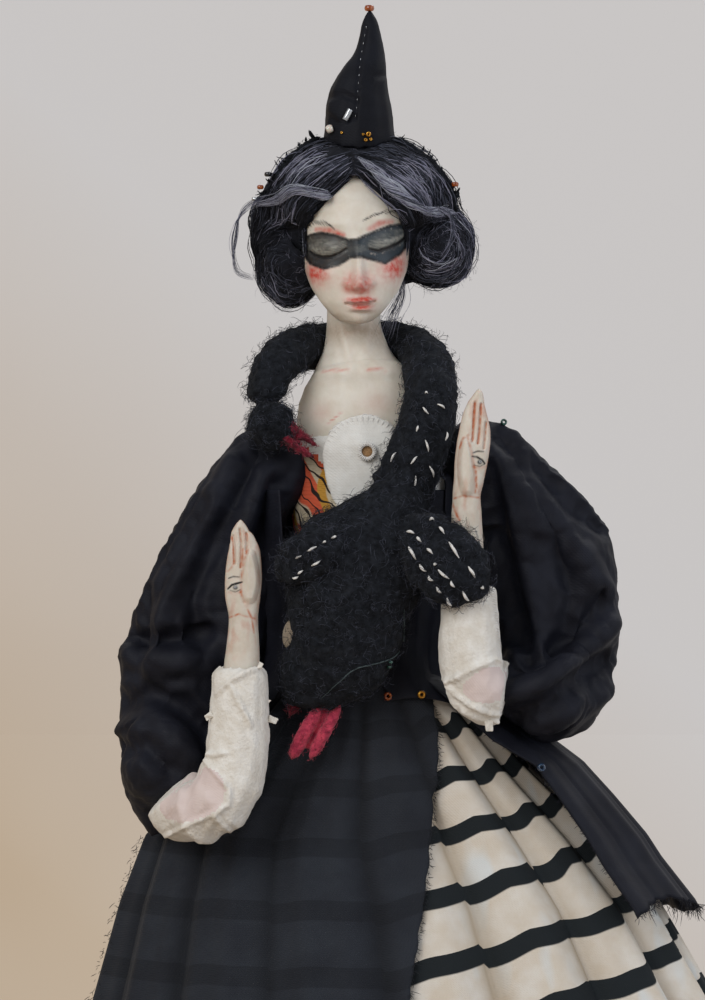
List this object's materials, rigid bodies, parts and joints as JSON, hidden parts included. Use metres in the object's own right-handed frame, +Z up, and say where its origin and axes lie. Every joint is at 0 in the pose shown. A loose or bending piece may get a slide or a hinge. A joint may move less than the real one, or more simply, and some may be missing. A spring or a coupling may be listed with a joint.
{
  "type": "art doll",
  "caption": "Standing art doll with a jointed clay head and hands, pointed hat, black coat, felt swan stole and striped skirt, on a round wooden stand.",
  "frame": {"origin": "middle of the underside of the wooden stand", "axes": "+Z up along the doll, -Y out of its face, +X to the right as seen from the front"},
  "size_m": [0.2391, 0.169, 0.5],
  "materials": {
    "ivory_clay": "polished, painted face",
    "black_wool": "matte wool",
    "grey_wool": "matte wool",
    "black_satin": "satin",
    "black_sateen": "soft sateen",
    "sheer_black": "thin matte weave",
    "striped_cotton": "woven cotton with stripes",
    "printed_cotton": "printed cotton",
    "white_linen": "woven linen",
    "white_leather": "soft matte leather",
    "black_felt": "wool felt",
    "red_felt": "wool felt",
    "coral_felt": "wool felt",
    "body_cloth": "plain cotton, stuffed",
    "steel_wire": "plain",
    "turned_wood": "oiled",
    "amber_glass": "glossy bead",
    "pearl_bead": "pearl",
    "gold_bead": "glossy bead",
    "blue_glass": "glossy bead",
    "green_glass": "glossy bead"
  },
  "bodies": {
    "doll": {"torso": "body_cloth", "wooden_stand": "turned_wood", "leg_wire_left": "steel_wire", "leg_wire_right": "steel_wire", "boot_left": "ivory_clay", "boot_right": "ivory_clay", "leg_left": "body_cloth", "leg_right": "body_cloth", "shoulder_plate": "ivory_clay", "bodice": "printed_cotton", "chest_patch": "white_linen", "patch_eyelet": "white_linen", "coat_body": "black_sateen", "striped_skirt": "striped_cotton", "over_skirt": "sheer_black", "coat_tail": "black_sateen", "swan_body": "black_felt", "swan_neck": "black_felt", "swan_head": "black_felt", "swan_beak_upper": "red_felt", "swan_beak_lower": "red_felt", "swan_wing_left": "black_felt", "swan_wing_right": "black_felt", "swan_foot_left": "red_felt", "swan_foot_right": "coral_felt", "bead_copper": "amber_glass", "bead_gold": "gold_bead", "bead_blue": "blue_glass"},
    "neck_pivot": {"neck_ball": "steel_wire"},
    "head": {"head": "ivory_clay", "hair_cap": "black_wool", "hair_bun_left": "black_wool", "hair_bun_right": "black_wool", "hair_lock_left": "grey_wool", "hair_lock_right": "grey_wool", "hat": "black_satin", "hat_tip_bead": "amber_glass", "crown_trim_left": "black_felt", "crown_trim_right": "black_felt", "crown_bead_black": "black_satin", "crown_bead_amber_left": "amber_glass", "crown_bead_clear": "pearl_bead", "crown_bead_amber_right": "amber_glass", "hat_bead_pearl": "pearl_bead", "hat_bead_gold": "gold_bead"},
    "arm_left": {"upper_arm_left": "body_cloth", "arm_wire_left": "steel_wire", "sleeve_left": "black_sateen"},
    "forearm_left": {"gauntlet_left": "white_leather"},
    "palm_left": {"hand_left": "ivory_clay"},
    "arm_right": {"upper_arm_right": "body_cloth", "arm_wire_right": "steel_wire", "sleeve_right": "black_sateen", "bead_green": "green_glass"},
    "forearm_right": {"gauntlet_right": "white_leather"},
    "palm_right": {"hand_right": "ivory_clay"}
  },
  "joints": [
    {"name": "head_turn", "type": "hinge", "parent": "doll", "child": "neck_pivot", "pos_m": [-0.001, 0.002, 0.41], "axis": [0, 0, 1], "range_deg": [-30, 30]},
    {"name": "head_nod", "type": "hinge", "parent": "neck_pivot", "child": "head", "pos_m": [-0.001, 0.002, 0.4185], "axis": [1, 0, 0], "range_deg": [-8, 5]},
    {"name": "shoulder_left", "type": "hinge", "parent": "doll", "child": "arm_left", "pos_m": [-0.028, 0, 0.359], "axis": [0, 1, 0], "range_deg": [0, 35]},
    {"name": "elbow_left", "type": "hinge", "parent": "arm_left", "child": "forearm_left", "pos_m": [-0.051, -0.022, 0.261], "axis": [0.3011, -0.9536, 0], "range_deg": [0, 45]},
    {"name": "hand_turn_left", "type": "hinge", "parent": "forearm_left", "child": "palm_left", "pos_m": [-0.0342, -0.035, 0.289], "axis": [0.007, 0, 1], "range_deg": [-60, 60]},
    {"name": "shoulder_right", "type": "hinge", "parent": "doll", "child": "arm_right", "pos_m": [0.038, 0, 0.361], "axis": [0, -1, 0], "range_deg": [0, 35]},
    {"name": "elbow_right", "type": "hinge", "parent": "arm_right", "child": "forearm_right", "pos_m": [0.042, -0.02, 0.294], "axis": [0.3011, 0.9536, 0], "range_deg": [0, 45]},
    {"name": "hand_turn_right", "type": "hinge", "parent": "forearm_right", "child": "palm_right", "pos_m": [0.0318, -0.033, 0.312], "axis": [0.0645, 0, 0.9979], "range_deg": [-60, 60]}
  ]
}
